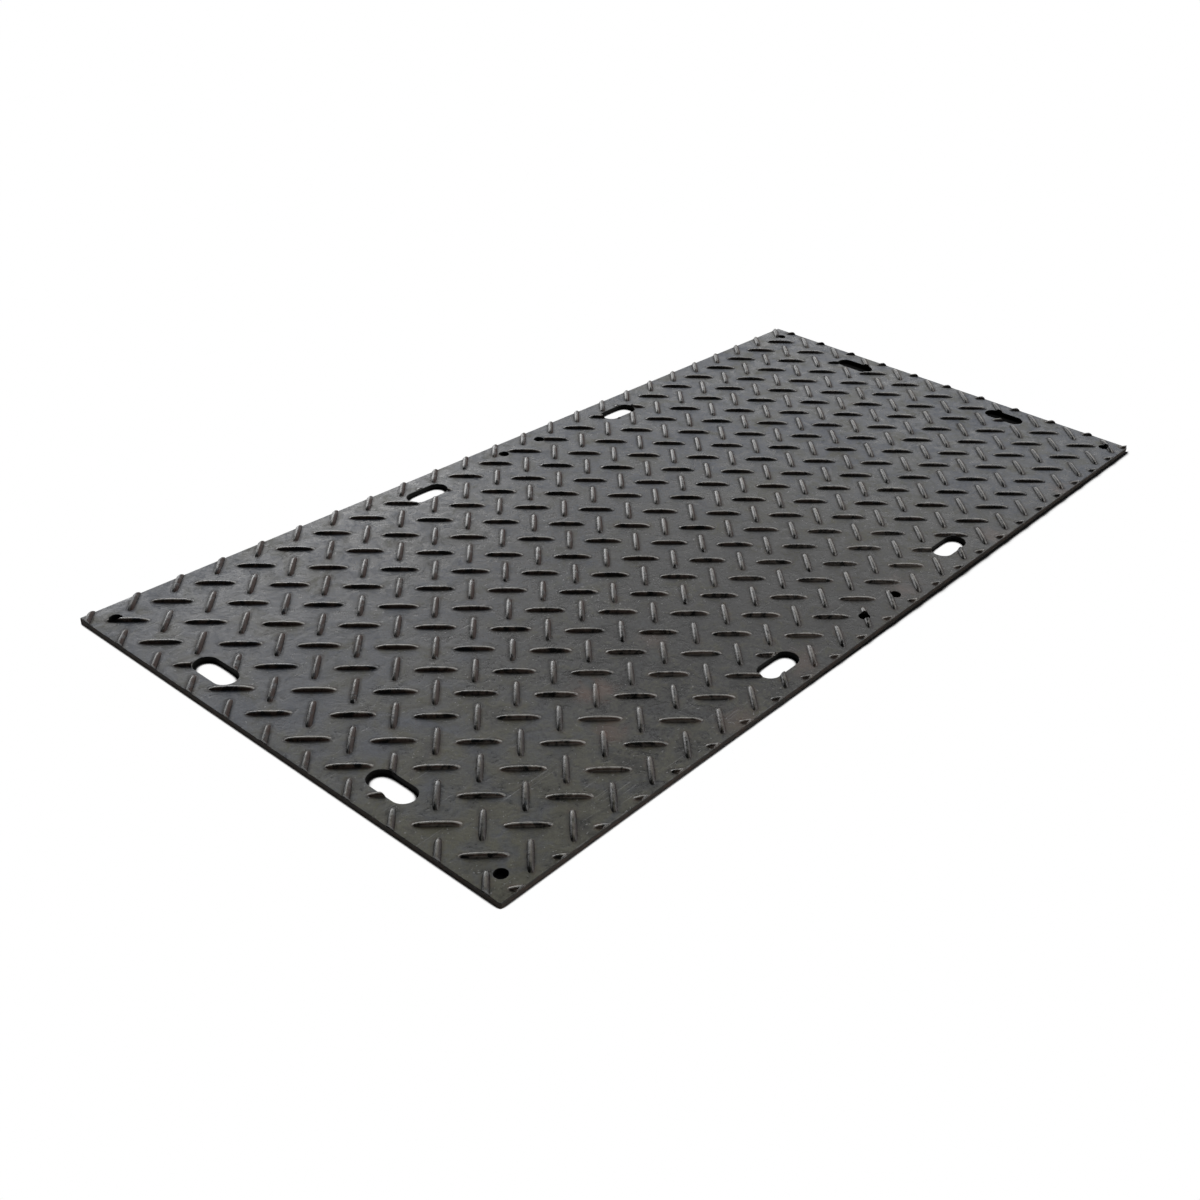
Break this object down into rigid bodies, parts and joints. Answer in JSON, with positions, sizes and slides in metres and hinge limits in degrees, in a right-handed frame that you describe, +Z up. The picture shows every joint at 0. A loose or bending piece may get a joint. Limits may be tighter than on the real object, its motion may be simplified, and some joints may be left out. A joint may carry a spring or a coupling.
{
  "type": "ground protection mat",
  "caption": "Flat rectangular ground protection mat of black plastic, with a raised tread of slanting bars, hand slots along its edges and pin holes.",
  "frame": {"origin": "middle of the flat underside, on the ground", "axes": "+X along the mat's length, +Y across its width, +Z up through the tread"},
  "size_m": [2.44, 1.22, 0.0187],
  "materials": {
    "black_polyethylene": "weathered black moulded polyethylene, matt with a faint sheen"
  },
  "bodies": {
    "root": {"ground_mat": "black_polyethylene"}
  },
  "joints": []
}
